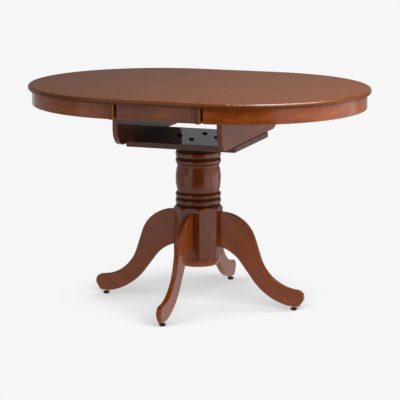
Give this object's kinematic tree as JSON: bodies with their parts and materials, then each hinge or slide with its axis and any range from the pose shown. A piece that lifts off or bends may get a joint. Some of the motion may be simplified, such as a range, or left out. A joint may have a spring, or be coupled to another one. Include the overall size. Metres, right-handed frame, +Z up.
{
  "type": "butterfly leaf pedestal table",
  "caption": "Round pedestal dining table, shown extended to an oval: half tops slide apart on wooden slides and a hinged butterfly leaf lies between them.",
  "frame": {"origin": "on the floor, straight under the column", "axes": "+X along the way the half tops slide apart, +Z up, -Y the front that the open end of the leaf case shows"},
  "size_m": [1.1998, 0.9, 0.77],
  "materials": {
    "top_wood": "satin cherry stain, clear lacquer",
    "apron_wood": "satin cherry stain, clear lacquer",
    "pedestal_wood": "satin cherry stain, clear lacquer",
    "leg_wood": "satin cherry stain, clear lacquer",
    "frame_wood": "satin cherry stain",
    "slide_wood": "bare waxed beech",
    "block_wood": "bare softwood",
    "pivot_steel": "black coat",
    "zinc_steel": "zinc plated",
    "dark_bolts": "black oxide",
    "brass": "plain brass",
    "leveler_plastic": "black moulded"
  },
  "bodies": {
    "base": {"column": "pedestal_wood", "bottom_collar": "pedestal_wood", "leg_front": "leg_wood", "leg_back": "leg_wood", "leg_left": "leg_wood", "leg_right": "leg_wood", "leg_bolts": "zinc_steel", "leveler_inserts": "zinc_steel", "base_plate": "frame_wood", "column_bolts": "dark_bolts", "cheek_left": "frame_wood", "cheek_right": "frame_wood", "cheek_screws": "zinc_steel", "slide_guide_front": "slide_wood", "slide_guide_back": "slide_wood", "guide_screws": "zinc_steel", "pivot_bracket_left": "pivot_steel", "pivot_bracket_right": "pivot_steel", "bracket_screws": "zinc_steel"},
    "left_half": {"top_left": "top_wood", "apron_left": "apron_wood", "seam_post_left": "apron_wood", "apron_end_left": "apron_wood", "runner_left_front": "slide_wood", "runner_left_back": "slide_wood", "glue_blocks_left": "block_wood", "runner_screws_left": "zinc_steel"},
    "right_half": {"top_right": "top_wood", "apron_right": "apron_wood", "seam_post_right": "apron_wood", "apron_end_right": "apron_wood", "runner_right_front": "slide_wood", "runner_right_back": "slide_wood", "glue_blocks_right": "block_wood", "runner_screws_right": "zinc_steel"},
    "leaf_back": {"leaf_panel_back": "top_wood", "leaf_apron_back": "apron_wood", "leaf_post_back": "apron_wood", "leaf_apron_end_back": "apron_wood", "pivot_arm_left": "pivot_steel", "pivot_arm_right": "pivot_steel", "arm_screws": "zinc_steel", "hinges_back": "brass", "leaf_blocks_back": "block_wood"},
    "leaf_front": {"leaf_panel_front": "top_wood", "leaf_apron_front": "apron_wood", "leaf_post_front": "apron_wood", "leaf_apron_end_front": "apron_wood", "hinges_front": "brass", "leaf_blocks_front": "block_wood"},
    "leveler_front": {"leveler_pad_front": "leveler_plastic", "leveler_stem_front": "zinc_steel"},
    "leveler_back": {"leveler_pad_back": "leveler_plastic", "leveler_stem_back": "zinc_steel"},
    "leveler_left": {"leveler_pad_left": "leveler_plastic", "leveler_stem_left": "zinc_steel"},
    "leveler_right": {"leveler_pad_right": "leveler_plastic", "leveler_stem_right": "zinc_steel"}
  },
  "joints": [
    {"name": "left_half_slide", "type": "slide", "parent": "base", "child": "left_half", "axis": [-1, 0, 0], "range_m": [0, 0.02]},
    {"name": "right_half_slide", "type": "slide", "parent": "base", "child": "right_half", "axis": [1, 0, 0], "range_m": [0, 0.02]},
    {"name": "leaf_pivot", "type": "hinge", "parent": "base", "child": "leaf_back", "pos_m": [0, 0.1125, 0.72], "axis": [1, 0, 0], "range_deg": [0, 90]},
    {"name": "leaf_fold", "type": "hinge", "parent": "leaf_back", "child": "leaf_front", "pos_m": [0, 0, 0.77015], "axis": [-1, 0, 0], "range_deg": [0, 180]},
    {"name": "leveler_front_screw", "type": "slide", "parent": "base", "child": "leveler_front", "axis": [0, 0, -1], "range_m": [0, 0.01]},
    {"name": "leveler_back_screw", "type": "slide", "parent": "base", "child": "leveler_back", "axis": [0, 0, -1], "range_m": [0, 0.01]},
    {"name": "leveler_left_screw", "type": "slide", "parent": "base", "child": "leveler_left", "axis": [0, 0, -1], "range_m": [0, 0.01]},
    {"name": "leveler_right_screw", "type": "slide", "parent": "base", "child": "leveler_right", "axis": [0, 0, -1], "range_m": [0, 0.01]}
  ],
  "couplings": [
    {"joint": "leaf_fold", "follows": "leaf_pivot", "ratio": 2}
  ]
}
